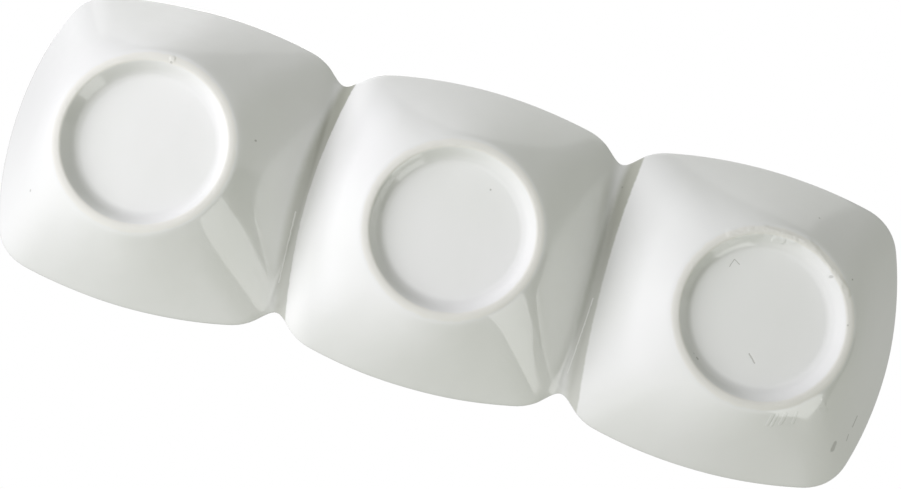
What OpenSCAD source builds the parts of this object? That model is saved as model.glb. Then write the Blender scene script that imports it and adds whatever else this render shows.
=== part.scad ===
// Three-compartment relish tray in white glazed porcelain, standing on three foot rings.
// The tray lies along X, its foot rings stand on z = 0 and its bowls open towards +Z.
// The ware is fired as one piece. It is drawn as the portions that it is formed from:
// three bowls, a low foot ring under each, and a saddle that joins each pair of neighbours.

/* [Tray] */
// Height of the rim above the table
tray_h = 34.4; // [28:0.2:42]
// How far the outlines of two neighbouring bowls reach into each other
bowl_overlap = 11.6; // [8:0.2:13]

/* [Bowl outline] */
// Length of one bowl along the tray
bowl_l = 126.6; // [112:0.2:140]
// Width of one bowl across the tray
bowl_w = 122; // [112:0.5:134]
// Radius of the bowed sides that face the ends of the tray
end_bow_r = 139; // [110:1:200]
// Radius of the bowed long sides
side_bow_r = 190; // [120:1:300]
// How far from the corner the two bows begin to round into each other
corner_blend = 9; // [5:0.5:14]

/* [Bowl wall] */
// Thickness of the wall at the rim, measured square to the wall, which ends in a round lip
rim_t = 3.4; // [2.8:0.1:4.4]
// Thickness of the floor above the recess
floor_t = 4; // [3:0.1:6]
// Radius of the flat middle of the floor
floor_r = 30; // [20:0.5:33]
// Share of its slope that the outside still lacks where it leaves the foot ring
foot_ease = 0.3; // [0.1:0.02:0.4]
// Share of the inside that bends up from the floor before its middle straightens out
dish_share = 0.2; // [0.1:0.02:0.3]

/* [Saddle] */
// Length of a saddle along the tray
saddle_l = 18; // [17:0.5:22]
// Rounding of the groove and the notches that part two bowls on the outside
notch_blend = 8.6; // [6:0.2:11]
// Rounding of the ridge that parts two bowls on the inside
ridge_blend = 12; // [8:0.5:14]

/* [Foot ring] */
// Radius to the outer edge of the flat crest that the tray stands on
foot_r = 31.3; // [28:0.1:33]
// Height of the ring where it meets the bowl inside the recess
foot_h = 2; // [1.6:0.1:3]
// Width of the flat on the crest
crest_w = 0.6; // [0.4:0.1:1.6]
// Radius of the soft bend that leads from the crest out to the wall
foot_round = 5; // [3:0.2:7]
// Depth of the round recess inside the ring, measured from the table
recess_h = 4.4; // [4.2:0.1:5]
// Width of the sloping wall of the recess, from the crest to its flat ceiling
recess_wall_w = 8.2; // [6:0.1:9]

/* [Hidden] */

glaze_white = [0.93, 0.94, 0.91];
bare_foot = [0.88, 0.86, 0.79];

// Rays round a bowl, crowded towards its corners, and steps along each stretch of the section
rays = 64;
ray_crowding = 0.45;
wall_steps = 9;
lip_steps = 3;
fall_steps = 2;
recess_steps = 3;
round_steps = 4;
saddle_steps = 6;
saddle_wall_steps = 18;
// How soon the outside gains its full slope
ease_power = 5;
// Rise over run of a lip's inner side where it meets the ridge
fall_slope = 1;
search_steps = 26;
overrun = 5;

// Distance between the middles of two neighbouring bowls
bowl_pitch = bowl_l - bowl_overlap;
lip_r = rim_t / 2;
lip_z = tray_h - lip_r;
// The walls lean out, so the round lip starts low on the outside and ends high on the inside
wall_lean = atan(lip_z / (bowl_l / 2 - foot_r));
lip_out = lip_r * (1 - sin(wall_lean));
lip_in = lip_r * (1 + sin(wall_lean));
lip_drop = lip_r * (1 - cos(wall_lean));
outer_top_z = lip_z - lip_r * cos(wall_lean);
inner_top_z = lip_z + lip_r * cos(wall_lean);
floor_z = recess_h + floor_t;
// The bend out of the crest ends at about the slope that the wall starts with
foot_slope = atan((1 - foot_ease) * lip_z / (bowl_l / 2 - foot_r));
root_r = foot_r + foot_round * sin(foot_slope);
root_z = foot_round * (1 - cos(foot_slope));
crest_r = foot_r - crest_w;
recess_r = crest_r - recess_wall_w;
// The sloping wall of the recess bends the other way where the ring meets the bowl
seat_r = recess_r + recess_wall_w * (recess_h - foot_h) / recess_h;
// The cut faces of the bowls, from the middle of a bowl
cut_x = (bowl_pitch - saddle_l) / 2;
notch_share = notch_blend / (bowl_l / 2 - lip_out - root_r);
ridge_share = ridge_blend / (bowl_l / 2 - lip_in - floor_r);

function soft_max(a, b, blend) = max(a, b) + pow(max(blend - abs(a - b), 0), 2) / (4 * blend);
function soft_min(a, b, blend) = -soft_max(-a, -b, blend);

// Distance of a point outside a bowl's outline, two pairs of bows rounded into each other
function outline_gap(x, y) = soft_max(
    norm([abs(x) + end_bow_r - bowl_l / 2, y]) - end_bow_r,
    norm([x, abs(y) + side_bow_r - bowl_w / 2]) - side_bow_r,
    corner_blend);

// Radius of the outline on a ray, found by halving the stretch that it must lie in
function rim_r(angle, low = 0, high = bowl_l + bowl_w, left = search_steps) =
    let (mid = (low + high) / 2)
    left == 0 ? mid :
    outline_gap(mid * cos(angle), mid * sin(angle)) > 0
        ? rim_r(angle, low, mid, left - 1)
        : rim_r(angle, mid, high, left - 1);

// Share of the way up the wall: 0 at its foot and 1 where the lip begins
function outer_share(x, y) = (norm([x, y]) - root_r) / (rim_r(atan2(y, x)) - lip_out - root_r);
function inner_share(x, y) = (norm([x, y]) - floor_r) / (rim_r(atan2(y, x)) - lip_in - floor_r);

// Outside: leaves the foot ring at an eased slope and soon rises straight like a cone
function outer_z(share) =
    let (eased = share - foot_ease * (1 - pow(1 - share, ease_power)) / ease_power)
    root_z + (outer_top_z - root_z) * eased / (1 - foot_ease / ease_power);
// Inside: bends up from the floor and then rises straight
function inner_z(share) =
    floor_z + (inner_top_z - floor_z)
        * soft_max(0, (share - dish_share) / (1 - dish_share), dish_share / (1 - dish_share));

// Steps of a wall, closer together towards its foot, where it bends
function wall_shares() = [for (i = [0 : wall_steps]) 1 - cos(90 * i / wall_steps)];

// Angles round the lip between its two walls: up the outside to the crest at 90 degrees, and down
function lip_rise() = concat([(wall_lean - 90) / 2], [for (i = [0 : lip_steps]) 90 * i / lip_steps]);
function lip_fall() = [for (i = [1 : fall_steps - 1]) 90 + wall_lean * i / fall_steps];

// Section of a bowl on one ray, as radius and height: recess, outer wall, lip, inner wall
function bowl_section(rim) = concat(
    [for (i = [0 : recess_steps]) let (t = i / recess_steps)
        [recess_r + t * (seat_r - recess_r), recess_h - (recess_h - foot_h) * pow(t, 2)]],
    [for (t = wall_shares()) [root_r + t * (rim - lip_out - root_r), outer_z(t)]],
    [for (a = concat(lip_rise(), lip_fall())) [rim - lip_r + lip_r * cos(a), lip_z + lip_r * sin(a)]],
    [for (i = [wall_steps : -1 : 0]) let (t = wall_shares()[i])
        [floor_r + t * (rim - lip_in - floor_r), inner_z(t)]]);

function ray_angle(i) =
    let (t = 4 * i / rays, f = t - floor(t))
    90 * (t + ray_crowding * sin(360 * f) / (2 * PI));

// Closed skin through rows of points that each run once round the body
module skin(rows, first_cap, last_cap) {
    n = len(rows[0]);
    last = len(rows) - 1;
    sides = [for (r = [0 : last - 1], i = [0 : n - 1]) let (j = (i + 1) % n)
        each [[r * n + i, (r + 1) * n + i, (r + 1) * n + j], [r * n + i, (r + 1) * n + j, r * n + j]]];
    polyhedron(points = [for (row = rows) each row],
        faces = concat(sides, first_cap, [for (f = last_cap) [for (k = f) last * n + k]]));
}

// One whole bowl, before its sides are cut to meet the saddles
module bowl_shell() {
    angles = [for (i = [0 : rays - 1]) ray_angle(i)];
    sections = [for (a = angles) bowl_section(rim_r(a))];
    rows = [for (k = [0 : len(sections[0]) - 1])
        [for (i = [0 : rays - 1]) let (p = sections[i][k], a = angles[i])
            [p[0] * cos(a), p[0] * sin(a), p[1]]]];
    ring = [for (i = [0 : rays - 1]) i];
    skin(rows, [ring], [[for (i = ring) rays - 1 - i]]);
}

// A bowl in place, cut flat on the sides where a saddle joins it
module bowl(place, cut_left, cut_right) {
    reach = bowl_l / 2 + overrun;
    from = cut_left ? -cut_x : -reach;
    to = cut_right ? cut_x : reach;
    color(glaze_white) translate([place * bowl_pitch, 0, 0]) intersection() {
        bowl_shell();
        translate([from, -bowl_w / 2 - overrun, -overrun])
            cube([to - from, bowl_w + 2 * overrun, tray_h + 2 * overrun]);
    }
}

module bowl_left() { bowl(-1, false, true); }
module bowl_middle() { bowl(0, true, true); }
module bowl_right() { bowl(1, true, false); }

// Section of a foot ring: sloping inside, flat crest, and a soft bend out to the foot of the wall
function foot_section() = concat(
    [for (i = [0 : round_steps]) let (t = i / round_steps)
        [seat_r + t * (crest_r - seat_r), foot_h * pow(1 - t, 2)]],
    [for (i = [0 : round_steps]) let (a = foot_slope * i / round_steps)
        [foot_r + foot_round * sin(a), foot_round * (1 - cos(a))]]);

module foot_ring(place) {
    color(bare_foot) translate([place * bowl_pitch, 0, 0])
        rotate_extrude($fn = 96) polygon(foot_section());
}

module foot_ring_left() { foot_ring(-1); }
module foot_ring_middle() { foot_ring(0); }
module foot_ring_right() { foot_ring(1); }

// Shares of two neighbouring bowls rounded into one, measured from the middle of the saddle
function outer_joint(x, y) = soft_min(
    outer_share(x + bowl_pitch / 2, y), outer_share(x - bowl_pitch / 2, y), notch_share);
function inner_joint(x, y) = soft_min(
    inner_share(x + bowl_pitch / 2, y), inner_share(x - bowl_pitch / 2, y), ridge_share);

// Half widths of the saddle at one place along it, outside and inside the lip
function outer_y(x, low = 0, high = bowl_w, left = search_steps) =
    let (mid = (low + high) / 2)
    left == 0 ? mid : outer_joint(x, mid) > 1
        ? outer_y(x, low, mid, left - 1) : outer_y(x, mid, high, left - 1);
function inner_y(x, low = 0, high = bowl_w, left = search_steps) =
    let (mid = (low + high) / 2)
    left == 0 ? mid : inner_joint(x, mid) > 1
        ? inner_y(x, low, mid, left - 1) : inner_y(x, mid, high, left - 1);

// Places across the saddle, closer together towards the notches
function across_shares() = [for (i = [0 : saddle_wall_steps]) sin(180 * i / saddle_wall_steps - 90)];

// Lip on one side of the saddle, as rows of distance from its middle and height: from the outer
// wall up to the crest, and from the crest down to the ridge. Where the lip is wide, it stays level
// for longer, so that it always comes down at the same slope.
function outer_lip(x) =
    [for (a = lip_rise()) [outer_y(x) - lip_r * (sin(wall_lean) - cos(a)), lip_z + lip_r * sin(a)]];
function inner_lip(x) =
    let (run = outer_y(x) - lip_r * sin(wall_lean) - inner_y(x),
         power = max(fall_slope * run / lip_drop, 2))
    [for (a = lip_fall()) let (t = -cos(a) / sin(wall_lean))
        [inner_y(x) + run * (1 - t), tray_h - lip_drop * pow(t, power)]];
function on_side(x, side, lip) = [for (p = lip) [x, side * p[0], p[1]]];
function backwards(row) = [for (i = [len(row) - 1 : -1 : 0]) row[i]];

// Two lines across the saddle that share their ends on the crests of the lips: underside and top
function saddle_section(x) = [
    concat(
        backwards(on_side(x, -1, outer_lip(x))),
        [for (t = across_shares()) let (y = t * outer_y(x)) [x, y, outer_z(outer_joint(x, y))]],
        on_side(x, 1, outer_lip(x))),
    concat(
        on_side(x, -1, inner_lip(x)),
        [for (t = across_shares()) let (y = t * inner_y(x)) [x, y, inner_z(inner_joint(x, y))]],
        backwards(on_side(x, 1, inner_lip(x))))];

// The joint between two bowls: a groove below, a lower ridge above and a notch at each side
module saddle(place) {
    xs = [for (i = [0 : saddle_steps]) saddle_l * (i / saddle_steps - 1 / 2)];
    sections = [for (x = xs) saddle_section(x)];
    rows = [for (s = sections) concat(s[0], backwards(s[1]))];
    // The two flat ends: strips between the underside and the top, and a face for each lip
    up = len(lip_rise());
    last = len(rows[0]) - 1 - len(lip_fall());
    strips = concat(
        [[for (k = [0 : up]) k, for (k = [last : len(rows[0]) - 1]) k]],
        [for (k = [0 : saddle_wall_steps - 1]) [up + k, up + k + 1, last - k - 1, last - k]],
        [[for (k = [up + saddle_wall_steps : last - saddle_wall_steps]) k]]);
    color(glaze_white) translate([place * bowl_pitch / 2, 0, 0])
        skin(rows, strips, [for (f = strips) backwards(f)]);
}

module saddle_left() { saddle(-1); }
module saddle_right() { saddle(1); }

bowl_left();
bowl_middle();
bowl_right();
foot_ring_left();
foot_ring_middle();
foot_ring_right();
saddle_left();
saddle_right();
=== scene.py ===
# %% [markdown]
# # A white relish tray, seen from below
# The real object is a long tray of glazed porcelain with three soft square bowls in a row. It is
# pressed in one mould, glazed and fired whole. The photograph shows its underside, so that is where
# most of the care goes: three foot rings, three shallow round recesses, and the glossy walls.
# The construction model already holds every size. This script dresses it: it makes smoother
# meshes for the same portions of the ware, gives them a glaze, and lights them.

# %% Load the construction model
import math

import bpy
import numpy as np
from mathutils import Matrix, Vector


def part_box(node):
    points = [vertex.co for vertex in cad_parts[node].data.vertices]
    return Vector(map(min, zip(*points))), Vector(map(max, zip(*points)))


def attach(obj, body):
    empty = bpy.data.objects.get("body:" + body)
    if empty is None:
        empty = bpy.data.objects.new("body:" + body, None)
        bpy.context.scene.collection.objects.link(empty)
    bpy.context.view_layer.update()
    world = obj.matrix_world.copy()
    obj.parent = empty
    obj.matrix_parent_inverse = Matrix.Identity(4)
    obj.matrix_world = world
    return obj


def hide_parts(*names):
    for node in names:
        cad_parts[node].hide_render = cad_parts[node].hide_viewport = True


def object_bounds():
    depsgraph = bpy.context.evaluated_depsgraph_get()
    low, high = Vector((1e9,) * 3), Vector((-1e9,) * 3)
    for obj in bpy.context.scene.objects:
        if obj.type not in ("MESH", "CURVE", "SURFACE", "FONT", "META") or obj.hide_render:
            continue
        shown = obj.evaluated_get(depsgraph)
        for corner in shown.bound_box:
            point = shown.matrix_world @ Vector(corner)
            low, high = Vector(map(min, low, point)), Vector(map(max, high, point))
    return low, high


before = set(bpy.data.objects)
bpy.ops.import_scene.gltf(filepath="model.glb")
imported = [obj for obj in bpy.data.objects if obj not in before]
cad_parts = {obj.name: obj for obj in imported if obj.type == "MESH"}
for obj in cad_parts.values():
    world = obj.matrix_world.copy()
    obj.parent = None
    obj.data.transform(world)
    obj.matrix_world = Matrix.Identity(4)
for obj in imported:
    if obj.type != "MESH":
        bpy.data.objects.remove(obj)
cad_low, cad_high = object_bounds()
print("nodes:", ", ".join(sorted(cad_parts)))

# %% [markdown]
# ## Sizes
# A dressed model must not drift away from the construction model. So the sizes that can be measured
# on it are measured here, and only the ones that shape a curve are repeated as named values.
# Everything is in millimetres until a mesh is written, because that is how a potter would think.

# %% Sizes measured on the model, and sizes that shape its curves
MM = 0.001


def box_mm(node):
    """Lowest and highest corner of a node, in millimetres"""
    low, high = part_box(node)
    return np.array(low) / MM, np.array(high) / MM


saddle_low, saddle_high = box_mm("saddle_right")
tray_h = cad_high.z / MM
bowl_w = (cad_high.y - cad_low.y) / MM
root_r = box_mm("foot_ring_middle")[1][0]
pitch = saddle_low[0] + saddle_high[0]
cut_x = saddle_low[0]
bowl_l = (cad_high.x - cad_low.x) / MM - 2 * pitch
bowl_centres = {"left": -pitch, "middle": 0.0, "right": pitch}

# A bowl's outline: radii of its bowed ends and sides, and how far its corners blend
end_bow_r = 139.0
side_bow_r = 190.0
corner_blend = 9.0
# The rim's and the floor's thickness, and the radius of the flat floor
rim_t = 3.4
floor_t = 4.0
floor_r = 30.0
# How the walls start, eased outside and dished inside, and how they soften where bowls meet
foot_ease = 0.3
ease_power = 5
dish_share = 0.2
notch_blend = 8.6
ridge_blend = 12.0
valley_sharpness = 0.35
rim_power = 6
# The foot ring's flat crest, and the recess with its slope and the bends above and below it
foot_r = 31.3
crest_w = 0.6
recess_h = 4.4
recess_slope = math.radians(50)
recess_bend_r = 4.85
crest_bend_r = 1.6

# What follows: the lip, where each wall meets it, and how the foot ring's bead leaves its crest
lip_r = rim_t / 2
lip_z = tray_h - lip_r
wall_lean = math.atan(lip_z / (bowl_l / 2 - foot_r))
lip_out = lip_r * (1 - math.sin(wall_lean))
lip_in = lip_r * (1 + math.sin(wall_lean))
lip_drop = lip_r * (1 - math.cos(wall_lean))
outer_top_z = lip_z - lip_r * math.cos(wall_lean)
inner_top_z = lip_z + lip_r * math.cos(wall_lean)
floor_z = recess_h + floor_t
crest_r = foot_r - crest_w
foot_slope = math.atan((1 - foot_ease) * lip_z / (bowl_l / 2 - foot_r))
foot_round = (root_r - foot_r) / math.sin(foot_slope)
root_z = foot_round * (1 - math.cos(foot_slope))
notch_share = notch_blend / (bowl_l / 2 - lip_out - root_r)
ridge_share = ridge_blend / (bowl_l / 2 - lip_in - floor_r)
print(f"pitch {pitch:.2f}, bowl {bowl_l:.2f} x {bowl_w:.2f}, height {tray_h:.2f}")
print(f"root radius {root_r:.2f}, walls rise at {math.degrees(wall_lean):.1f} degrees")

# %% [markdown]
# ## The form as formulas
# A bowl's outline is four bowed sides that round into each other. Each wall is a height that grows
# with the share of the way from its foot (0) to the lip (1). Where two bowls meet, the smaller of
# their two shares counts, softened: that one rule makes the groove below, the ridge above and the
# notches at the sides. Writing the form as functions of arrays keeps it exact at any mesh density.

# %% Outline of a bowl and the shares of its walls
def soft_max(a, b, blend):
    return np.maximum(a, b) + np.maximum(blend - np.abs(a - b), 0) ** 2 / (4 * blend)


def soft_min(a, b, blend):
    return -soft_max(-a, -b, blend)


def outline_gap(x, y):
    """How far a point lies outside one bowl's outline"""
    ends = np.hypot(np.abs(x) + end_bow_r - bowl_l / 2, y) - end_bow_r
    sides = np.hypot(x, np.abs(y) + side_bow_r - bowl_w / 2) - side_bow_r
    return soft_max(ends, sides, corner_blend)


def halve(low, high, is_past, steps=26):
    """The place between low and high where is_past turns true, for a whole array at once"""
    low, high = np.array(low, float), np.array(high, float)
    for _ in range(steps):
        middle = (low + high) / 2
        past = is_past(middle)
        high = np.where(past, middle, high)
        low = np.where(past, low, middle)
    return (low + high) / 2


table_angles = np.linspace(-math.pi, math.pi, 2881)
table_radii = halve(
    np.zeros_like(table_angles), np.full_like(table_angles, bowl_l),
    lambda r: outline_gap(r * np.cos(table_angles), r * np.sin(table_angles)) > 0)


def wall_share(x, y, foot, rim_inset):
    """Share of the way from a round foot to the outline, less the inset, on the ray through a point"""
    rim = np.interp(np.arctan2(y, x), table_angles, table_radii) - rim_inset
    return (np.hypot(x, y) - foot) / (rim - foot)


def joined_share(x, y, foot, rim_inset, blend, sharpness=1.0):
    """The share of the nearest of three bowls in a row, softened less below the rim than at it"""
    share = wall_share(x, y, foot, rim_inset)
    for side in (-pitch, pitch):
        other = wall_share(x - side, y, foot, rim_inset)
        near_rim = np.clip(np.minimum(share, other), 0, 1) ** rim_power
        share = soft_min(share, other, blend * (sharpness + (1 - sharpness) * near_rim))
    return share


def outer_share(x, y):
    return joined_share(x, y, root_r, lip_out, notch_share, valley_sharpness)


def inner_share(x, y):
    return joined_share(x, y, floor_r, lip_in, ridge_share)


def outer_z(share):
    """The outside leaves the foot ring at an eased slope and soon rises straight, like a cone"""
    up = np.maximum(share, 0)
    eased = up - foot_ease * (1 - (1 - up) ** ease_power) / ease_power
    return root_z + (outer_top_z - root_z) * eased / (1 - foot_ease / ease_power)


def inner_z(share):
    """The inside bends up from the floor and then rises straight"""
    past_bend = (share - dish_share) / (1 - dish_share)
    return floor_z + (inner_top_z - floor_z) * soft_max(0, past_bend, dish_share / (1 - dish_share))


print(f"rim radius {table_radii.min():.2f} to {table_radii.max():.2f} mm")

# %% [markdown]
# ## Columns round a bowl
# The mesh of a bowl is a polar grid: columns are rays from its middle, rows go from the recess out
# over the wall, round the lip and down into the bowl. A ray towards a neighbour stops at a flat cut,
# where the saddle takes over, and the other rays run to the free rim. Inside, the corner of the cut
# lies on a slightly different ray than outside, so the inner rays lean over to meet it.

# %% Rays of a bowl, outside and inside
CUT_COLUMNS = 56
FREE_COLUMN_STEP = math.radians(1.7)
LEAN_REACH = math.radians(32)


def rim_y(share, x):
    """Half width at one x, where the joined share reaches 1"""
    return float(halve(0.0, bowl_w, lambda y: share(np.array(x), y) > 1))


cut_outer_y = rim_y(outer_share, cut_x)
cut_inner_y = rim_y(inner_share, cut_x)
cut_angle = math.atan2(cut_outer_y, cut_x)
lean = cut_angle - math.atan2(cut_inner_y, cut_x)


def free_angles(start, stop):
    count = round((stop - start) / FREE_COLUMN_STEP)
    return [start + (stop - start) * i / count for i in range(1, count)]


def bowl_rays(joined_right, joined_left):
    """Angles once round a bowl, and whether the gap after each ray faces a cut"""
    start, back = cut_angle, math.pi - cut_angle
    cut_steps = [i / CUT_COLUMNS * 2 - 1 for i in range(CUT_COLUMNS)]
    angles = [cut_angle * t for t in cut_steps]
    faces_cut = [joined_right] * len(angles)
    angles += [start] + free_angles(start, back)
    faces_cut += [False] * (len(angles) - len(faces_cut))
    angles += [math.pi + cut_angle * t for t in cut_steps]
    faces_cut += [joined_left] * CUT_COLUMNS
    angles += [math.pi + start] + free_angles(math.pi + start, math.pi + back)
    faces_cut += [False] * (len(angles) - len(faces_cut))
    return np.array(angles), np.array(faces_cut)


def lean_inward(angles, joined_right, joined_left):
    """Inner rays: each leans towards the nearest cut, most at the cut's corners"""
    leaned = angles.copy()
    for joined, middle in ((joined_right, 0.0), (joined_left, math.pi)):
        if joined:
            off = (angles - middle + math.pi) % (2 * math.pi) - math.pi
            size = np.abs(off)
            inside = size / cut_angle * lean
            beyond = lean * np.clip(1 - (size - cut_angle) / LEAN_REACH, 0, 1) ** 2
            leaned -= np.sign(off) * np.where(size < cut_angle, inside, beyond)
    return leaned


demo_angles, demo_cut = bowl_rays(True, True)
print(f"{len(demo_angles)} columns round the middle bowl, {int(demo_cut.sum())} of them face a cut")

# %% [markdown]
# ## Rows of a bowl
# Rows are closer where the form bends most: over the foot ring's bead, at the foot of the wall and
# round the lip. The lip leans out with the wall. It could be a plain half circle, but that leaves a
# faint crease where it meets a wall of another slope, as it does on the ridges. So its inner part is
# a curve whose last slope is the wall's own, and the glaze runs over without a line.

# %% Sections of the foot ring, the walls and the lip
WALL_ROWS = 44
RECESS_BEND_ROWS = 9
CREST_BEND_ROWS = 7
ROOT_BEND_ROWS = 8
# Rows as shares of the way: out over the recess, down its slope, and in over the bowl's floor
RECESS_SHARES = (0.0, 0.3, 0.6, 0.85)
SLOPE_SHARES = (0.0, 0.35, 0.7)
FLOOR_SHARES = (0.8, 0.55, 0.3, 0.0)
# Rows over the lip: angles up its outer part, and shares of the way down its inner part
LIP_RISE = np.concatenate([
    np.linspace(wall_lean - math.pi / 2, 0, 5)[:-1], np.linspace(0, math.pi / 2, 8)])
LIP_FALL = np.linspace(0, 1, 15)[1:]


def bend_in(radius, count):
    """Steps of an arc that leaves the level and turns to the slope of the recess wall"""
    turn = np.linspace(0, recess_slope, count)
    return np.stack([radius * np.sin(turn), radius * (1 - np.cos(turn))], axis=-1)


def recess_section():
    """Radius and height from the middle of the recess to the start of its straight slope"""
    bend = (recess_r, recess_h) + bend_in(recess_bend_r, RECESS_BEND_ROWS) * (1, -1)
    return [(recess_r * t, recess_h) for t in RECESS_SHARES] + [tuple(p) for p in bend]


def ring_section():
    """Down the slope, over the crest that the tray stands on, and out into the wall"""
    crest = ((crest_r, 0.0) + bend_in(crest_bend_r, CREST_BEND_ROWS) * (-1, 1))[::-1]
    slope = [tuple(np.array(seat) + (crest[0] - seat) * t) for t in SLOPE_SHARES]
    edge = [(foot_r + foot_round * math.sin(a), foot_round * (1 - math.cos(a)))
            for a in np.linspace(0, foot_slope, ROOT_BEND_ROWS)]
    return slope + [tuple(p) for p in crest] + edge


bends_r = recess_bend_r + crest_bend_r
fall = recess_h - bends_r * (1 - math.cos(recess_slope))
recess_r = crest_r - bends_r * math.sin(recess_slope) - fall / math.tan(recess_slope)
seat = recess_section()[-1]
seat_r = seat[0]


def wall_steps(count):
    """Even steps drawn together towards the foot"""
    t = np.linspace(0, 1, count + 1)
    return (t + 1 - np.cos(t * math.pi / 2)) / 2


def lip_section(width, wall_slope):
    """Distance in from the lip's outer edge, and height, at steps over the lip"""
    crest = lip_r * math.sin(wall_lean)
    run = width - crest
    power = max(wall_slope * run / lip_drop, 2.0)
    inward = np.concatenate([crest - lip_r * np.cos(LIP_RISE), crest + run * LIP_FALL])
    height = np.concatenate([lip_z + lip_r * np.sin(LIP_RISE), tray_h - lip_drop * LIP_FALL ** power])
    return np.stack([inward, height], axis=-1)


print(f"ring section of {len(ring_section())} points, lip of {len(LIP_RISE) + len(LIP_FALL)}")

# %% [markdown]
# ## The skin
# All portions share one watertight skin. It is built first as a single net of welded points, because
# then one smooth normal can be worked out for every point. Each portion is cut from the net later and
# keeps those normals, so no seam shows where a bowl meets a saddle or a foot ring.

# %% A net of welded points that collects faces by portion
WELD = 0.004


class Skin:
    def __init__(self):
        self.index = {}
        self.points = []
        self.faces = {}
        self.caps = {}

    def point(self, p):
        key = tuple(round(c / WELD) for c in p)
        if key not in self.index:
            self.index[key] = len(self.points)
            self.points.append(p)
        return self.index[key]

    def add(self, store, portion, corners):
        face = [c for i, c in enumerate(corners) if c != corners[i - 1]]
        if len(face) > 2:
            store.setdefault(portion, []).append(face)

    def grid(self, portion, ids, closed, skip=None):
        """Faces between neighbouring rows and columns of point numbers"""
        rows, columns = ids.shape
        for j in range(columns if closed else columns - 1):
            if skip is not None and skip[j]:
                continue
            k = (j + 1) % columns
            for i in range(rows - 1):
                self.add(self.faces, portion, [ids[i][j], ids[i][k], ids[i + 1][k], ids[i + 1][j]])


def number_rows(skin, rows):
    """Point numbers of an array of points, rows by columns"""
    return np.array([[skin.point(tuple(p)) for p in row] for row in rows])


skin = Skin()

# %% [markdown]
# ## The three bowls
# Each bowl is one grid of points: underside and foot ring, then the lip, then the inside. Faces are
# filed by portion, so the foot ring's faces go to the ring and the rest to the bowl. The flat faces
# where portions meet are kept apart as caps, because they are never smoothed.

# %% Build a bowl and its foot ring
def place_rows(centre, angles, radii, height):
    """Points of rows by columns: radii is an array of that shape, height a function or an array"""
    x = centre + radii * np.cos(angles)
    y = radii * np.sin(angles)
    z = height(x, y) if callable(height) else height
    return np.stack([x, y, np.broadcast_to(z, x.shape)], axis=-1)


def reach(centre, angles, share, on_cut):
    """How far each ray runs: to the flat cut, or to where the share reaches 1"""
    free = halve(np.zeros_like(angles), np.full_like(angles, bowl_l),
                 lambda r: share(centre + r * np.cos(angles), r * np.sin(angles)) > 1)
    return np.where(on_cut, cut_x / np.maximum(np.abs(np.cos(angles)), 0.01), free)


def slope_inside(inner, outer):
    """Slope of the inner wall where it reaches the lip, seen along the way to the outer edge"""
    step = 0.15
    way = (outer - inner) / np.linalg.norm(outer - inner)
    below = inner - way * step
    return (inner_top_z - float(inner_z(inner_share(np.array(below[0]), np.array(below[1]))))) / step


def lip_points(outer, inner):
    """Points over the lip from an outer to an inner edge point, without those two ends"""
    width = np.linalg.norm(inner - outer)
    section = lip_section(width, slope_inside(inner, outer))[1:-1]
    way = (inner - outer) / width
    return [(outer[0] + way[0] * d, outer[1] + way[1] * d, z) for d, z in section]


def build_bowl(side, joined_right, joined_left):
    centre = bowl_centres[side]
    angles, faces_cut = bowl_rays(joined_right, joined_left)
    on_cut = faces_cut | np.roll(faces_cut, 1)
    inner_angles = lean_inward(angles, joined_right, joined_left)
    outer_end = reach(centre, angles, outer_share, on_cut)
    inner_end = reach(centre, inner_angles, inner_share, on_cut)

    recess, ring = np.array(recess_section()), np.array(ring_section())
    ones = np.ones(len(angles))
    recess_rows, ring_rows = (
        place_rows(centre, angles, np.outer(section[:, 0], ones), np.outer(section[:, 1], ones))
        for section in (recess, ring))
    t = wall_steps(WALL_ROWS)[:, None]
    wall_rows = place_rows(centre, angles, root_r + t * (outer_end - root_r),
                           lambda x, y: outer_z(outer_share(x, y)))
    inner_rows = place_rows(centre, inner_angles, floor_r + t[::-1] * (inner_end - floor_r),
                            lambda x, y: inner_z(inner_share(x, y)))
    floor_rows = place_rows(centre, inner_angles, np.outer(FLOOR_SHARES, ones) * floor_r, floor_z)

    under = number_rows(skin, np.concatenate([recess_rows, ring_rows[1:], wall_rows[1:]]))
    top = number_rows(skin, np.concatenate([inner_rows, floor_rows]))
    has_lip = ~(faces_cut & np.roll(faces_cut, 1))
    lip = np.zeros((len(LIP_RISE) + len(LIP_FALL) - 2, len(angles)), int)
    for j in np.flatnonzero(has_lip):
        lip[:, j] = [skin.point(p) for p in lip_points(wall_rows[-1, j, :2], inner_rows[0, j, :2])]
    joint, root = len(recess) - 1, len(recess) + len(ring) - 2
    skin.grid("bowl_" + side, under[:joint + 1], closed=True)
    skin.grid("foot_ring_" + side, under[joint:root + 1], closed=True)
    skin.grid("bowl_" + side, under[root:], closed=True)
    skin.grid("bowl_" + side, np.vstack([under[-1:], lip, top[:1]]), closed=True, skip=faces_cut)
    skin.grid("bowl_" + side, top, closed=True)

    count = len(angles)
    for j in range(count):
        k = (j + 1) % count
        step = [under[joint][j], under[joint][k], under[root][k], under[root][j]]
        skin.add(skin.caps, "bowl_" + side, step)
        skin.add(skin.caps, "foot_ring_" + side, step[::-1])
    for joined, first, saddle in ((joined_right, 0, RIGHT_OF[side]), (joined_left, None, LEFT_OF[side])):
        if joined:
            first = int(np.argmin(np.abs(angles - (math.pi - cut_angle)))) if first is None else first
            last = first + CUT_COLUMNS
            cut = [[under[-1][j], under[-1][j + 1], top[0][j + 1], top[0][j]]
                   for j in range(first, last)]
            cut.append([under[-1][first], top[0][first]] + [int(p) for p in lip[::-1, first]])
            cut.append([top[0][last], under[-1][last]] + [int(p) for p in lip[:, last]])
            for face in cut:
                skin.add(skin.caps, "bowl_" + side, face)
                skin.add(skin.caps, saddle, face[::-1])


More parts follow.
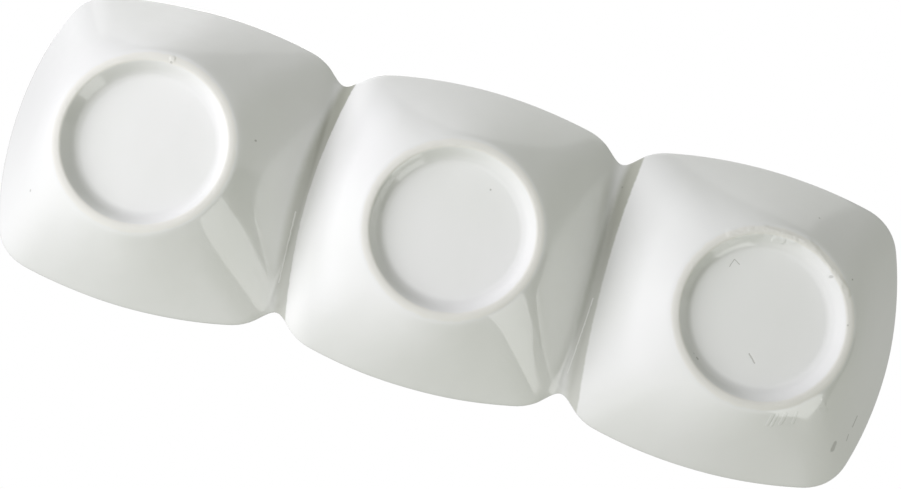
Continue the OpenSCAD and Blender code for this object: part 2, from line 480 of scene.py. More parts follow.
RIGHT_OF = {"left": "saddle_left", "middle": "saddle_right", "right": None}
LEFT_OF = {"left": None, "middle": "saddle_left", "right": "saddle_right"}
for side in bowl_centres:
    build_bowl(side, joined_right=RIGHT_OF[side] is not None, joined_left=LEFT_OF[side] is not None)
print(f"three bowls, {len(skin.points)} points so far")

# %% [markdown]
# ## The two saddles
# A saddle fills the 18 mm between two cuts. Its lines run straight across from cut to cut and start at
# the same points as the bowls' rays, so both nets weld. At its middle the lip is widest: there the
# notch outside and the ridge inside draw apart, and the top swells into a low shoulder.

# %% Build a saddle between two cuts
SADDLE_STEPS = 22


def build_saddle(name, middle):
    stations = []
    cut_y = np.tan(np.linspace(cut_angle, -cut_angle, CUT_COLUMNS + 1)) * cut_x
    cut_half = (saddle_high[0] - saddle_low[0]) / 2
    inner_steps = np.tan(np.linspace(cut_angle - lean, lean - cut_angle, CUT_COLUMNS + 1)) * cut_x
    for x in middle + np.linspace(-cut_half, cut_half, SADDLE_STEPS + 1):
        outer_y, inner_y = rim_y(outer_share, x), rim_y(inner_share, x)
        under_y = cut_y / cut_outer_y * outer_y
        top_y = inner_steps / cut_inner_y * inner_y
        xs = np.full_like(under_y, x)
        under = np.stack([xs, under_y, outer_z(outer_share(xs, under_y))], axis=-1)
        top = np.stack([xs, top_y, inner_z(inner_share(xs, top_y))], axis=-1)
        near = lip_points(under[-1, :2], top[-1, :2])
        far = lip_points(under[0, :2], top[0, :2])
        stations.append([tuple(p) for p in under] + near + [tuple(p) for p in top[::-1]] + far[::-1])
    ids = number_rows(skin, np.array(stations)).T
    skin.grid(name, np.vstack([ids, ids[:1]]), closed=False)


build_saddle("saddle_right", pitch / 2)
build_saddle("saddle_left", -pitch / 2)


def open_edges(faces):
    """Edges of a portion that don't have exactly two faces, one on each side"""
    seen = {}
    for face in faces:
        for i, corner in enumerate(face):
            edge = (face[i - 1], corner)
            seen[edge] = seen.get(edge, 0) + 1
    return sum(1 for (a, b), n in seen.items() if n != 1 or seen.get((b, a)) != 1)


for name in sorted(skin.faces):
    closed_faces = skin.faces[name] + skin.caps[name]
    print(f"{name}: {len(closed_faces)} faces, open edges {open_edges(closed_faces)}")
print(f"whole skin: open edges {open_edges([f for faces in skin.faces.values() for f in faces])}")

# %% [markdown]
# ## Hand of the maker
# Pressed porcelain is never quite true: it moves a little in the kiln, and that is why the edges of
# its reflections wander. A few long waves are pressed into the surface here, less than a fifth of a
# millimetre deep and only inwards, so that the tray stays inside its box. The bead that it stands on
# stays flat. Waves in the mesh are better than bump here, because they bend the outline as well.

# %% Press faint waves into the skin and work out its normals
WAVE_DEPTH = 0.14
WAVE_COUNT = 14
WAVE_LENGTHS = (26.0, 70.0)
WAVE_PEAK = 1.6
FADE_FROM_RING = 6.0
FADE_FROM_FLOOR = 2.0
random = np.random.default_rng(11)


def smooth_step(value, low, high):
    t = np.clip((value - low) / (high - low), 0, 1)
    return t * t * (3 - 2 * t)


def skin_normals(points, faces, passes=0):
    """Area-weighted normals at the points, evened out along the edges for a number of passes"""
    quads = np.array([f if len(f) == 4 else f + f[-1:] for f in faces])
    across = np.cross(points[quads[:, 2]] - points[quads[:, 0]],
                      points[quads[:, 3]] - points[quads[:, 1]])
    normals = np.zeros_like(points)
    for corner in range(4):
        np.add.at(normals, quads[:, corner], across)
    normals /= np.linalg.norm(normals, axis=1, keepdims=True)
    for _ in range(passes):
        blurred = normals.copy()
        for corner in range(4):
            np.add.at(blurred, quads[:, corner], normals[quads[:, corner - 1]])
            np.add.at(blurred, quads[:, corner - 1], normals[quads[:, corner]])
        normals = blurred / np.linalg.norm(blurred, axis=1, keepdims=True)
    return normals


def wave_field(points):
    """A sum of long sine waves in seeded directions, between 0 and 1"""
    total = np.zeros(len(points))
    for _ in range(WAVE_COUNT):
        way = random.normal(size=3)
        way /= np.linalg.norm(way)
        length = random.uniform(*WAVE_LENGTHS)
        total += np.sin(points @ way * 2 * math.pi / length + random.uniform(0, 2 * math.pi))
    return 0.5 + 0.5 * np.clip(total / math.sqrt(WAVE_COUNT) / WAVE_PEAK, -1, 1)


points = np.array(skin.points, float)
all_faces = [f for name in sorted(skin.faces) for f in skin.faces[name]]
nearest = points[:, 0] - pitch * np.clip(np.round(points[:, 0] / pitch), -1, 1)
from_ring = np.abs(np.hypot(nearest, points[:, 1]) - (seat_r + root_r) / 2) - (root_r - seat_r) / 2
free_of_ring = np.maximum(smooth_step(from_ring, 0.0, FADE_FROM_RING),
                          smooth_step(points[:, 2], floor_z - FADE_FROM_FLOOR, floor_z))
points -= skin_normals(points, all_faces) * (WAVE_DEPTH * free_of_ring * wave_field(points))[:, None]
normals = skin_normals(points, all_faces, passes=2)
print(f"skin box {points.min(0).round(2)} to {points.max(0).round(2)} mm")

# %% [markdown]
# ## From skin to pieces
# A piece takes its faces from the skin, closes itself with its caps, and gets its own list of corner
# normals: the skin's normal on skin faces and the flat normal on caps. Custom normals are what lets
# separate closed pieces look like one glazed surface.

# %% Make one object for each portion
def make_piece(name, portion):
    skin_faces, caps = skin.faces[portion], skin.caps[portion]
    used = sorted({c for f in skin_faces + caps for c in f})
    place = {old: new for new, old in enumerate(used)}
    mesh = bpy.data.meshes.new(name)
    faces = [[place[c] for c in f] for f in skin_faces + caps]
    mesh.from_pydata((points[used] * MM).tolist(), [], faces)
    mesh.polygons.foreach_set("use_smooth", [True] * len(skin_faces) + [False] * len(caps))
    corner_normals = [tuple(normals[c]) for f in skin_faces for c in f]
    for polygon, face in zip(list(mesh.polygons)[len(skin_faces):], caps):
        corner_normals += [tuple(polygon.normal)] * len(face)
    mesh.normals_split_custom_set(corner_normals)
    piece = bpy.data.objects.new(name, mesh)
    bpy.context.scene.collection.objects.link(piece)
    return piece


ware = {portion: make_piece("ware_" + portion, portion) for portion in sorted(skin.faces)}
print("pieces:", ", ".join(p.name for p in ware.values()))

# %% [markdown]
# ## Glaze effects as node groups
# The glaze and the wiped foot share their effects, so each effect is a node group with its own inputs:
# a ripple like the skin of an orange, slow unevenness of the glaze, and dark specks where iron in the
# clay burnt through. Two more groups serve marks that sit at one place: a plan view of the tray, and
# a short stroke. Groups give heights, masks and places only. The Principled shader stays in each
# material, where a learner sees it.

# %% Node helpers
def add_node(tree, kind, inputs=None, **settings):
    """A new node with settings; its inputs get plain values, or links from other nodes' outputs"""
    node = tree.nodes.new(kind)
    for name, value in settings.items():
        setattr(node, name, value)
    for name, value in (inputs or {}).items():
        if isinstance(value, bpy.types.NodeSocket):
            tree.links.new(value, node.inputs[name])
        else:
            node.inputs[name].default_value = value
    return node


def new_group(name, inputs, output, kind="NodeSocketFloat"):
    """An empty node group with number or vector inputs and one output; returns their sockets too"""
    group = bpy.data.node_groups.new(name, "ShaderNodeTree")
    for label, value in inputs.items():
        takes = "NodeSocketVector" if isinstance(value, tuple) else "NodeSocketFloat"
        socket = group.interface.new_socket(label, in_out="INPUT", socket_type=takes)
        socket.default_value = value
    group.interface.new_socket(output, in_out="OUTPUT", socket_type=kind)
    given = group.nodes.new("NodeGroupInput").outputs
    result = group.nodes.new("NodeGroupOutput").inputs
    return group, given, result


def math_node(tree, operation, a, b=None, clamp=False):
    """The output of a Math node; a and b are sockets or plain numbers"""
    inputs = {0: a} if b is None else {0: a, 1: b}
    return add_node(tree, "ShaderNodeMath", inputs, operation=operation, use_clamp=clamp).outputs[0]


def times(tree, a, b):
    return math_node(tree, "MULTIPLY", a, b)


def plus(tree, a, b):
    return math_node(tree, "ADD", a, b)


def minus(tree, a, b):
    return math_node(tree, "SUBTRACT", a, b)


def vector_node(tree, operation, a, b, output="Vector"):
    """An output of a Vector Math node; b is a number when the operation is SCALE"""
    inputs = {0: a, "Scale" if operation == "SCALE" else 1: b}
    return add_node(tree, "ShaderNodeVectorMath", inputs, operation=operation).outputs[output]


def split_vector(tree, vector):
    return add_node(tree, "ShaderNodeSeparateXYZ", {"Vector": vector}).outputs


def ramp_between(tree, value, low, high):
    """A smooth step from 0 at low to 1 at high"""
    inputs = {"Value": value, "From Min": low, "From Max": high}
    node = add_node(tree, "ShaderNodeMapRange", inputs, interpolation_type="SMOOTHSTEP")
    return node.outputs["Result"]


def band(tree, value, low, high, soft, rise=None):
    """1 between low and high, with soft edges; rise is the softness at low, if it differs"""
    rise = soft if rise is None else rise
    past_high = ramp_between(tree, value, high - soft, high + soft)
    return times(tree, ramp_between(tree, value, low - rise, low + rise), minus(tree, 1.0, past_high))


def object_place(tree):
    return tree.nodes.new("ShaderNodeTexCoord").outputs["Object"]


def noise_node(tree, scale, detail=2.0):
    """The outputs of a noise over the object; scale is a socket or a number"""
    inputs = {"Vector": object_place(tree), "Scale": scale, "Detail": detail}
    return add_node(tree, "ShaderNodeTexNoise", inputs).outputs


# %% Ripple, mottling, specks, plan view and short strokes
FINE_TIMES = 4.0
FINE_SHARE = 0.12
MOTTLE_RANGE = (0.35, 0.65)
SMALLEST_SPECK = 0.3
SPECK_EDGE = 60.0
WANDER_SCALE = 500.0
STROKE_EDGE = 4.0
SHORTEST_SQUARED = 0.01


def make_ripple_group():
    """A coarse ripple with a faint finer one on top"""
    group, given, result = new_group("glaze_ripple", {"Size": 120.0, "Depth": 1.0}, "Height")
    coarse = noise_node(group, given["Size"], detail=1.0)
    fine = noise_node(group, times(group, given["Size"], FINE_TIMES))
    both = plus(group, coarse["Fac"], times(group, fine["Fac"], FINE_SHARE))
    group.links.new(times(group, both, given["Depth"]), result["Height"])
    return group


def make_mottle_group():
    """Slow unevenness of the glaze's thickness"""
    group, given, result = new_group("glaze_mottle", {"Size": 18.0}, "Mask")
    noise = noise_node(group, given["Size"], detail=3.0)
    group.links.new(ramp_between(group, noise["Fac"], *MOTTLE_RANGE), result["Mask"])
    return group


def make_speck_group():
    """Small round marks, one in a share of the cells of a Voronoi pattern"""
    inputs = {"Cells": 60.0, "Share": 0.05, "Size": 0.06}
    group, given, result = new_group("kiln_specks", inputs, "Mask")
    inputs = {"Vector": object_place(group), "Scale": given["Cells"]}
    cells = add_node(group, "ShaderNodeTexVoronoi", inputs).outputs
    pick = add_node(group, "ShaderNodeSeparateColor", {"Color": cells["Color"]}).outputs
    chosen = math_node(group, "LESS_THAN", pick["Red"], given["Share"])
    size = times(group, given["Size"], plus(group, pick["Green"], SMALLEST_SPECK))
    near = minus(group, size, cells["Distance"])
    soft = math_node(group, "MULTIPLY", near, SPECK_EDGE, clamp=True)
    group.links.new(times(group, soft, chosen), result["Mask"])
    return group


def make_plan_group():
    """The place on the tray seen along Z, in millimetres, with a wander that makes edges natural"""
    group, given, result = new_group("plan_view", {"Wander": 0.5}, "Place", kind="NodeSocketVector")
    off = vector_node(group, "SUBTRACT", noise_node(group, WANDER_SCALE)["Color"], (0.5, 0.5, 0.5))
    flat = vector_node(group, "MULTIPLY", off, (1.0, 1.0, 0.0))
    shift = vector_node(group, "SCALE", flat, given["Wander"])
    place = vector_node(group, "MULTIPLY", object_place(group), (1 / MM, 1 / MM, 0.0))
    group.links.new(vector_node(group, "ADD", place, shift), result["Place"])
    return group


def make_stroke_group():
    """1 along a short stroke between two places in plan view, fading to 0 at half its width"""
    nowhere = (0.0, 0.0, 0.0)
    inputs = {"Place": nowhere, "From": nowhere, "To": nowhere, "Width": 1.0}
    group, given, result = new_group("short_stroke", inputs, "Mask")
    off = vector_node(group, "SUBTRACT", given["Place"], given["From"])
    run = vector_node(group, "SUBTRACT", given["To"], given["From"])
    along = vector_node(group, "DOT_PRODUCT", off, run, output="Value")
    squared = vector_node(group, "DOT_PRODUCT", run, run, output="Value")
    squared = math_node(group, "MAXIMUM", squared, SHORTEST_SQUARED)
    nearest = vector_node(group, "SCALE", run, math_node(group, "DIVIDE", along, squared, clamp=True))
    gap = vector_node(group, "DISTANCE", off, nearest, output="Value")
    inside = minus(group, 1.0, math_node(group, "DIVIDE", gap, given["Width"]))
    steep = times(group, inside, STROKE_EDGE)
    edge = math_node(group, "SUBTRACT", steep, STROKE_EDGE / 2, clamp=True)
    group.links.new(edge, result["Mask"])
    return group


ripple_group = make_ripple_group()
mottle_group = make_mottle_group()
speck_group = make_speck_group()
plan_group = make_plan_group()
stroke_group = make_stroke_group()
print("node groups:", ", ".join(g.name for g in bpy.data.node_groups))

# %% [markdown]
# ## Materials
# Glazed porcelain is a white body under a layer of clear glass. The body is nearly matt, and the
# glass gives sharp reflections. A Principled shader with a full coat says just that. The foot's crest
# is wiped before firing so that it doesn't stick to the kiln shelf, so it is bare, creamy and rough.

# %% What the glaze and the foot share
GLAZE_WHITE = (0.88, 0.88, 0.875, 1.0)
GLAZE_THICK = (0.86, 0.865, 0.85, 1.0)
SPECK_BROWN = (0.16, 0.13, 0.09, 1.0)
MARK_GREY = (0.30, 0.29, 0.26, 1.0)
GLASS = {"Roughness": 0.28, "IOR": 1.5, "Coat Roughness": 0.03, "Coat IOR": 1.6}
BUMP_STRENGTH = 0.35
BUMP_DISTANCE = 0.0004


def place_group(tree, group, **values):
    return add_node(tree, "ShaderNodeGroup", values, node_tree=group)


def mix_colors(tree, mask, a, b):
    """The output of a Mix node for colours; a and b are sockets or plain colours"""
    inputs = {"Factor": mask, "A": a, "B": b}
    return add_node(tree, "ShaderNodeMix", inputs, data_type="RGBA").outputs["Result"]


def new_material(name):
    material = bpy.data.materials.new(name)
    material.use_nodes = True
    tree = material.node_tree
    return material, tree, tree.nodes["Principled BSDF"]


def glaze_nodes(tree, shader):
    """The common glaze: body colour, specks and ripple. Returns colour, speck mask and height."""
    mottle = place_group(tree, mottle_group, Size=14.0).outputs["Mask"]
    specks = place_group(tree, speck_group, Cells=70.0, Share=0.02, Size=0.05).outputs["Mask"]
    ripple = place_group(tree, ripple_group, Size=110.0, Depth=1.0).outputs["Height"]
    color = mix_colors(tree, mottle, GLAZE_WHITE, GLAZE_THICK)
    color = mix_colors(tree, specks, color, SPECK_BROWN)
    for name, value in GLASS.items():
        shader.inputs[name].default_value = value
    return color, specks, ripple


def set_bump(tree, shader, height, *marks):
    """Bump from a height plus marks, each a mask and how far it stands out"""
    for mask, rise in marks:
        height = plus(tree, height, times(tree, mask, rise))
    inputs = {"Strength": BUMP_STRENGTH, "Distance": BUMP_DISTANCE, "Height": height}
    bump = add_node(tree, "ShaderNodeBump", inputs)
    tree.links.new(bump.outputs["Normal"], shader.inputs["Normal"])


print("shared glaze:", ", ".join(f"{name} {value}" for name, value in GLASS.items()))

# %% [markdown]
# ## Marks that sit at one place
# Some things on this tray belong to a place and not to a texture. While it melts, glaze runs into the
# grooves: it pools there, thick and a little green, and it leaves the ware beside it thin and white.
# Here the pool is painted much darker than that, as painted shade in the grooves, and the thin side
# and two lines along the grooves are painted lighter, as painted light and painted highlights.
# The tray also has small accidents: nicks, drips, and a rough patch on one foot ring. Both could be
# painted on a picture wrapped round the tray. Here they are masks in plan view instead, so that each
# mark is a row of numbers that can be moved, and it stays sharp however close the camera comes.

# %% Pooled glaze with painted shade, and thin glaze with painted light, along the grooves
FACES_DOWN = (0.2, 0.5)
# The line in each groove, in millimetres: how far apart, how far to the right, how bowed, how sharp
GROOVE_APART = 1.35
GROOVE_SHIFT = 1.45
GROOVE_BOW = 0.0018
GROOVE_EDGE = 0.4
# The pooled glaze with painted shade on its left: width, softness, where along Y it deepens, and its
# least and added depth
POOL_SHADE_WIDTH = 4.75
POOL_SHADE_SOFT = 1.75
POOL_SHADE_RUN = (-10.0, 32.0)
POOL_SHADE_LEAST = 0.60
POOL_SHADE_GAIN = 0.38
# The thin glaze with painted light on its right: width, softness, mean share, and how much the two
# grooves differ
THIN_LIT_WIDTH = 7.0
THIN_LIT_SOFT = 5.0
THIN_LIT_MEAN = 0.55
THIN_LIT_DIFFERENCE = 0.45


def faces_down(tree):
    """1 on the underside and 0 on the top"""
    z = split_vector(tree, tree.nodes.new("ShaderNodeTexCoord").outputs["Normal"])["Z"]
    return ramp_between(tree, times(tree, z, -1.0), *FACES_DOWN)


def groove_masks(tree, place, below):
    """Pooled glaze with painted shade on the left of the bowed lines in the grooves, and thin glaze with
    painted light on their right
    """
    x, y, _ = split_vector(tree, place)
    side = math_node(tree, "SIGN", x)
    line = times(tree, side, pitch / 2 + GROOVE_APART)
    bow = plus(tree, times(tree, times(tree, y, y), GROOVE_BOW), GROOVE_SHIFT)
    off = minus(tree, minus(tree, x, line), bow)
    run = ramp_between(tree, times(tree, y, -1.0), *POOL_SHADE_RUN)
    depth = plus(tree, times(tree, run, POOL_SHADE_GAIN), POOL_SHADE_LEAST)
    share = minus(tree, THIN_LIT_MEAN, times(tree, side, THIN_LIT_DIFFERENCE))
    pooled_and_shade = times(tree, band(tree, off, -POOL_SHADE_WIDTH, 0.0, GROOVE_EDGE, rise=POOL_SHADE_SOFT), depth)
    thin_and_lit = times(tree, band(tree, off, 0.0, THIN_LIT_WIDTH, THIN_LIT_SOFT, rise=GROOVE_EDGE), share)
    return times(tree, pooled_and_shade, below), times(tree, thin_and_lit, below)


print(f"the grooves' lines cross y = 0 at x = {pitch / 2 + GROOVE_APART + GROOVE_SHIFT:.1f} "
      f"and {-pitch / 2 - GROOVE_APART + GROOVE_SHIFT:.1f} mm")

# %% Strokes, each from x, y to x, y with a width, in millimetres
WALL_NICKS = (
    (114.9, 13.6, 117.4, 16.3, 0.7), (101.3, -18.0, 100.2, -15.0, 0.4),
    (101.3, -18.0, 103.6, -16.7, 0.4), (165.8, 28.3, 166.3, 24.2, 0.9),
    (165.4, 34.0, 165.2, 31.6, 0.7), (159.5, 38.7, 159.3, 36.3, 2.6),
    (143.7, -22.2, 143.8, -22.2, 0.9), (146.4, -8.3, 146.4, -8.2, 0.9),
    (94.8, 19.2, 94.9, 19.2, 1.0), (96.4, 20.3, 96.9, 20.6, 1.0),
    (130.9, -43.0, 130.9, -43.1, 0.8), (9.2, -18.2, 9.2, -18.1, 0.8),
    (-153.7, 27.7, -153.7, 27.8, 1.1), (-78.1, -12.0, -78.1, -12.1, 0.9),
    (59.4, -37.3, 59.4, -37.4, 0.9))
WALL_DRIPS = (
    (127.3, 36.2, 127.1, 32.1, 1.5), (129.0, 36.2, 128.6, 31.9, 1.3),
    (131.7, 34.6, 131.5, 31.1, 1.8), (136.2, 33.2, 135.3, 29.3, 1.3),
    (142.6, 22.1, 143.4, 22.6, 1.2), (145.1, 23.8, 145.6, 24.0, 1.2),
    (143.7, 25.7, 143.9, 26.0, 1.2), (147.3, 25.6, 147.5, 25.2, 1.0))
# Painted highlights: bright lines along the grooves, drawn as strokes
GROOVE_HIGHLIGHT_LINES = (
    (58.7, 8.2, 57.5, 38.4, 0.6), (-59.9, 7.7, -59.3, 35.3, 0.6))
RING_DRIPS = (
    (94.5, -14.5, 99.5, -20.5, 1.6), (99.5, -20.5, 106.2, -25.0, 2.2),
    (112.8, -28.4, 115.6, -28.6, 2.6), (-24.4, -10.2, -17.6, -20.4, 1.5),
    (-114.4, -31.8, -114.2, -31.8, 2.4))
RING_NICKS = (
    (135.3, -20.9, 135.5, -20.8, 1.3), (144.9, -5.4, 144.9, -5.5, 0.9),
    (-114.4, -30.3, -114.3, -30.3, 1.2))
RING_ROUGH = (
    (97.0, -26.0, 108.0, -30.5, 5.0), (108.0, -30.5, 124.0, -30.0, 4.0),
    (124.0, -30.0, 141.5, -17.0, 5.0))


def stroke_mask(tree, place, strokes):
    """All strokes of a list as one mask"""
    total = 0.0
    for from_x, from_y, to_x, to_y, width in strokes:
        stroke = place_group(tree, stroke_group, Place=place, From=(from_x, from_y, 0),
                             To=(to_x, to_y, 0), Width=width)
        total = math_node(tree, "MAXIMUM", stroke.outputs["Mask"], total)
    return total


print("strokes:", sum(len(s) for s in (WALL_NICKS, WALL_DRIPS, GROOVE_HIGHLIGHT_LINES)), "on the walls,",
      sum(len(s) for s in (RING_DRIPS, RING_NICKS, RING_ROUGH)), "on the foot rings")

# %% [markdown]
# ## The two finishes
# Both start from the common glaze. The walls add the grooves' pooled glaze with painted shade, thin
# glaze with painted light and painted highlight lines, and their own strokes, only where the ware faces
# down.
# On the foot rings the glaze gives way to the bare body within half a millimetre of the table. That
# border wanders, as a wiping sponge leaves it, because a straight one would look printed.

# %% White glaze
# The pooled colour is partly glaze that pools and partly painted shade in the grooves
GLAZE_POOLED_AND_SHADE = (0.48, 0.485, 0.42, 1.0)
# The thin colour is partly thin glaze and partly painted light on the grooves' right sides
GLAZE_THIN_AND_LIT = (0.97, 0.97, 0.96, 1.0)
HIGHLIGHT_LINE_STRENGTH = 0.7
NICK_STRENGTH = 0.55
SPECK_DIP = -0.3
NICK_DIP = -0.4
DRIP_RISE = 0.9


def make_glaze():
    material, tree, shader = new_material("white_glaze")
    color, specks, height = glaze_nodes(tree, shader)
    place = place_group(tree, plan_group).outputs["Place"]
    below = faces_down(tree)
    nicks, drips, highlight_lines = (
        times(tree, stroke_mask(tree, place, strokes), below)
        for strokes in (WALL_NICKS, WALL_DRIPS, GROOVE_HIGHLIGHT_LINES))
    pooled_and_shade, thin_and_lit = groove_masks(tree, place, below)
    # Painted highlight lines, added to the lighter thin glaze
    thin_and_lit = math_node(tree, "MAXIMUM", thin_and_lit, times(tree, highlight_lines, HIGHLIGHT_LINE_STRENGTH))
    # Painted shade: the groove's left side is darkened towards the pooled colour
    color = mix_colors(tree, pooled_and_shade, color, GLAZE_POOLED_AND_SHADE)
    # Painted light: the groove's right side and the highlight lines are lightened towards the thin
    # colour
    color = mix_colors(tree, thin_and_lit, color, GLAZE_THIN_AND_LIT)
    color = mix_colors(tree, times(tree, nicks, NICK_STRENGTH), color, MARK_GREY)
    tree.links.new(color, shader.inputs["Base Color"])
    shader.inputs["Coat Weight"].default_value = 1.0
    set_bump(tree, shader, height, (specks, SPECK_DIP), (nicks, NICK_DIP), (drips, DRIP_RISE))
    return material


glaze = make_glaze()
print("white glaze:", len(glaze.node_tree.nodes), "nodes")

# %% Wiped foot, bare where it touches the table
BARE_CREAM = (0.84, 0.83, 0.79, 1.0)
# Heights over the table in metres: where the glaze starts, and how far that line wanders
CREST_GLAZED = (0.00012, 0.0004)
CREST_WANDER = 0.0004
CREST_WANDER_SCALE = 260.0
BARE_ROUGHER = 0.35
GRIT_SCALE = 420.0
GRIT_RISE = 3.0
RING_NICK_STRENGTH = 0.4
RING_DRIP_RISE = 1.5


def make_foot():
    material, tree, shader = new_material("wiped_foot")
    color, _, height = glaze_nodes(tree, shader)
    z = split_vector(tree, object_place(tree))["Z"]
    wander = minus(tree, noise_node(tree, CREST_WANDER_SCALE)["Fac"], 0.5)
    level = plus(tree, z, times(tree, wander, CREST_WANDER))
    glazed = ramp_between(tree, level, *CREST_GLAZED)
    bare = minus(tree, 1.0, glazed)
    roughness = plus(tree, GLASS["Roughness"], times(tree, bare, BARE_ROUGHER))
    place = place_group(tree, plan_group).outputs["Place"]
    drips, nicks, rough = (
        stroke_mask(tree, place, strokes) for strokes in (RING_DRIPS, RING_NICKS, RING_ROUGH))
    grit = times(tree, rough, noise_node(tree, GRIT_SCALE)["Fac"])
    color = mix_colors(tree, bare, color, BARE_CREAM)
    color = mix_colors(tree, times(tree, nicks, RING_NICK_STRENGTH), color, MARK_GREY)
    tree.links.new(color, shader.inputs["Base Color"])
    tree.links.new(glazed, shader.inputs["Coat Weight"])
    tree.links.new(roughness, shader.inputs["Roughness"])
    set_bump(tree, shader, height, (grit, GRIT_RISE), (drips, RING_DRIP_RISE))
    return material


foot_finish = make_foot()
for portion, piece in ware.items():
    is_foot = portion.startswith("foot_ring")
    piece.data.materials.append(foot_finish if is_foot else glaze)
    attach(piece, "root")
    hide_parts(portion)
print("finished pieces:", len(ware))

# %% [markdown]
# ## Floor
# The photograph looks at the underside, so the camera stands below the tray. The floor still has to
# be there for every view from above. Its material is clear on the back: seen from below it vanishes,
# and it takes no part in the light that reaches the underside. It reaches so far that its edge lies
# on the horizon, and it is greyer than the tray, so that a white tray stands out from it.

# %% A pale floor that is clear from below
FLOOR_HALF = 60.0
FLOOR_GREY = (0.79, 0.785, 0.80, 1.0)
FLOOR_ROUGHNESS = 0.9


def mix_shaders(tree, mask, a, b):
    return add_node(tree, "ShaderNodeMixShader", {"Fac": mask, 1: a, 2: b}).outputs[0]


def make_floor():
    mesh = bpy.data.meshes.new("floor")
    corners = [(x * FLOOR_HALF, y * FLOOR_HALF, 0) for x, y in ((-1, -1), (1, -1), (1, 1), (-1, 1))]
    mesh.from_pydata(corners, [], [(0, 1, 2, 3)])
    floor = bpy.data.objects.new("floor", mesh)
    bpy.context.scene.collection.objects.link(floor)
    material, tree, shader = new_material("pale_floor")
    shader.inputs["Base Color"].default_value = FLOOR_GREY
    shader.inputs["Roughness"].default_value = FLOOR_ROUGHNESS
    is_back = add_node(tree, "ShaderNodeNewGeometry").outputs["Backfacing"]
    clear = add_node(tree, "ShaderNodeBsdfTransparent").outputs[0]
    either = mix_shaders(tree, is_back, shader.outputs[0], clear)
    tree.links.new(either, tree.nodes["Material Output"].inputs["Surface"])
    mesh.materials.append(material)
    floor.visible_diffuse = floor.visible_glossy = floor.visible_shadow = False
    print(f"floor: {2 * FLOOR_HALF:.0f} m wide")


make_floor()

# %% [markdown]
# ## Light
# The tray was lit by one wide soft light low on the left, in a white surround with one bright panel
# low on the right. The matt body answers to the whole surround and the clear glaze mirrors it. So the
# surround has two answers, chosen by the kind of ray: a smooth fill for the body, and a picture with
# edges for the mirror. That way the shading and the reflections can be matched one at a time. Views
# from above get a fill and a soft light of their own, which hardly touch the underside.

# %% The surround as a world shader
WHITE = (1.0, 1.0, 1.0, 1.0)
FILL_ABOVE = {"right": 0.42, "near": 0.28, "far": 0.84}
FILL_BELOW = {"right": 0.38, "near": 0.60, "even": 0.13}
FILL_TINT = (0.97, 1.0, 0.88, 1.0)
FILL_TOP = 0.8
FILL_TOP_RISE = (46.0, 56.0)
FILL_TOP_TINT = (1.0, 0.98, 1.06, 1.0)
MIRROR_BASE = 0.50
MIRROR_BELOW = 0.50
MIRROR_BELOW_LIFT = -53.0
# Fields of the mirror: two compass angles, two heights, softness of the edge in degrees, brightness
MIRROR_FIELDS = {
    "near": ((50, 118), (-40, 15), 6.0, 0.20),
    "far": ((-140, -58), (12, 60), 1.5, 0.32),
    "dark": ((-8, 20), (-42, 4), 0.8, -0.42),
    "panel": ((21, 48), (-40, -2), 0.5, 1.50)}


def sum_of(tree, facing, shares):
    """Light that grows towards some sides, plus what is even"""
    total = shares.get("even", 0.0)
    for side in (s for s in shares if s != "even"):
        total = plus(tree, times(tree, facing[side], shares[side]), total)
    return total


def background(tree, strength, tint):
    return add_node(tree, "ShaderNodeBackground", {"Color": tint, "Strength": strength}).outputs[0]


def make_surround():
    world = bpy.data.worlds.new("surround")
    bpy.context.scene.world = world
    world.use_nodes = True
    tree = world.node_tree
    tree.nodes.clear()
    x, y, z = split_vector(tree, tree.nodes.new("ShaderNodeTexCoord").outputs["Generated"])
    turn = math_node(tree, "DEGREES", math_node(tree, "ARCTAN2", y, x))
    lift = math_node(tree, "DEGREES", math_node(tree, "ARCSINE", z))

    sides = {"right": x, "near": y, "far": times(tree, y, -1.0)}
    facing = {side: math_node(tree, "MAXIMUM", value, 0.0) for side, value in sides.items()}
    above = math_node(tree, "GREATER_THAN", z, 0.0)
    over = times(tree, sum_of(tree, facing, FILL_ABOVE), above)
    under = times(tree, sum_of(tree, facing, FILL_BELOW), minus(tree, 1.0, above))
    fill = background(tree, plus(tree, over, under), FILL_TINT)
    # The walls lean out at 45 degrees, so the underside never sees what is higher than that
    top = times(tree, ramp_between(tree, lift, *FILL_TOP_RISE), FILL_TOP)
    both = add_node(tree, "ShaderNodeAddShader", {0: fill, 1: background(tree, top, FILL_TOP_TINT)})

    below = math_node(tree, "LESS_THAN", lift, MIRROR_BELOW_LIFT)
    mirror = plus(tree, times(tree, below, MIRROR_BELOW), MIRROR_BASE)
    for turns, lifts, soft, strength in MIRROR_FIELDS.values():
        field = times(tree, band(tree, turn, *turns, soft), band(tree, lift, *lifts, soft))
        mirror = plus(tree, mirror, times(tree, field, strength))

    path = add_node(tree, "ShaderNodeLightPath").outputs
    answer = both.outputs[0]
    for kind, strength in (("Is Glossy Ray", mirror), ("Is Camera Ray", 1.0)):
        answer = mix_shaders(tree, path[kind], answer, background(tree, strength, WHITE))
    tree.links.new(answer, add_node(tree, "ShaderNodeOutputWorld").inputs["Surface"])
    print("surround:", len(tree.nodes), "nodes, mirror fields", ", ".join(MIRROR_FIELDS))


make_surround()


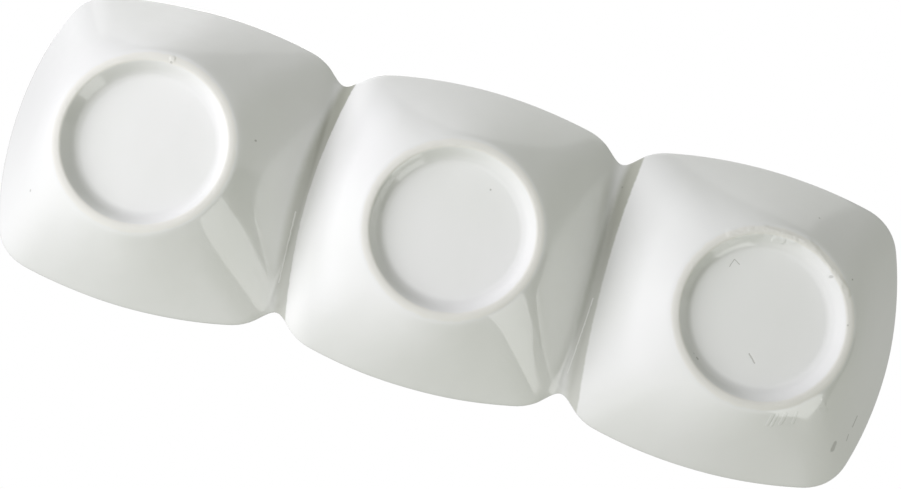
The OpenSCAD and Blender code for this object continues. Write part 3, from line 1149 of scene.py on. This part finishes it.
# %% Soft lights
def soft_light(name, turn, lift, distance, size, watts, color, in_glaze):
    """A rectangular area light in a direction from the tray's middle, given in degrees"""
    data = bpy.data.lights.new(name, "AREA")
    data.shape = "RECTANGLE"
    data.size, data.size_y = size
    data.energy = watts
    data.color = color
    light = bpy.data.objects.new(name, data)
    bpy.context.scene.collection.objects.link(light)
    turn, lift = math.radians(turn), math.radians(lift)
    way = Vector((math.cos(turn) * math.cos(lift), math.sin(turn) * math.cos(lift), math.sin(lift)))
    light.location = Vector((0, 0, tray_h * MM / 2)) + way * distance
    light.rotation_euler = way.to_track_quat("Z", "Y").to_euler()
    light.visible_camera = False
    light.visible_glossy = in_glaze


soft_light("key_low_left", 180, -33, distance=1.15, size=(0.45, 0.85), watts=12.9,
           color=(1.0, 0.99, 1.05), in_glaze=False)
soft_light("key_from_above", -138, 48, distance=1.3, size=(0.9, 0.9), watts=6.0,
           color=(1.0, 1.0, 1.0), in_glaze=True)

# %% [markdown]
# ## Camera
# The photograph was taken from close by, about 31 cm below the feet, almost square on and turned a
# little so that the tray runs downhill to the right. The place, turn and focal length were found by
# matching the outline, the notches and the foot rings. The photo's frame is 901 pixels wide.

# %% Place the camera
CAMERA_AT = (2.54, 34.39, -313.15)
CAMERA_TURN = (-0.0900, -0.0193, 0.2760)
FOCAL_PIXELS = 881.9
FRAME_PIXELS = 901
SENSOR = 36.0
CLIP = (0.01, 200.0)


def make_camera():
    data = bpy.data.cameras.new("camera")
    data.sensor_width = SENSOR
    data.sensor_fit = "HORIZONTAL"
    data.lens = FOCAL_PIXELS / FRAME_PIXELS * SENSOR
    data.clip_start, data.clip_end = CLIP
    camera = bpy.data.objects.new("camera", data)
    bpy.context.scene.collection.objects.link(camera)
    turn = (Matrix.Rotation(CAMERA_TURN[0], 3, "X") @ Matrix.Rotation(CAMERA_TURN[1], 3, "Y")
            @ Matrix.Rotation(CAMERA_TURN[2], 3, "Z"))
    looking = turn.transposed() @ Matrix.Diagonal((1, -1, -1))
    camera.matrix_world = Matrix.Translation(Vector(CAMERA_AT) * MM) @ looking.to_4x4()
    bpy.context.scene.camera = camera
    print(f"camera: {data.lens:.1f} mm lens, {-CAMERA_AT[2]:.0f} mm below the feet")


make_camera()
bpy.context.scene.view_settings.view_transform = "Standard"
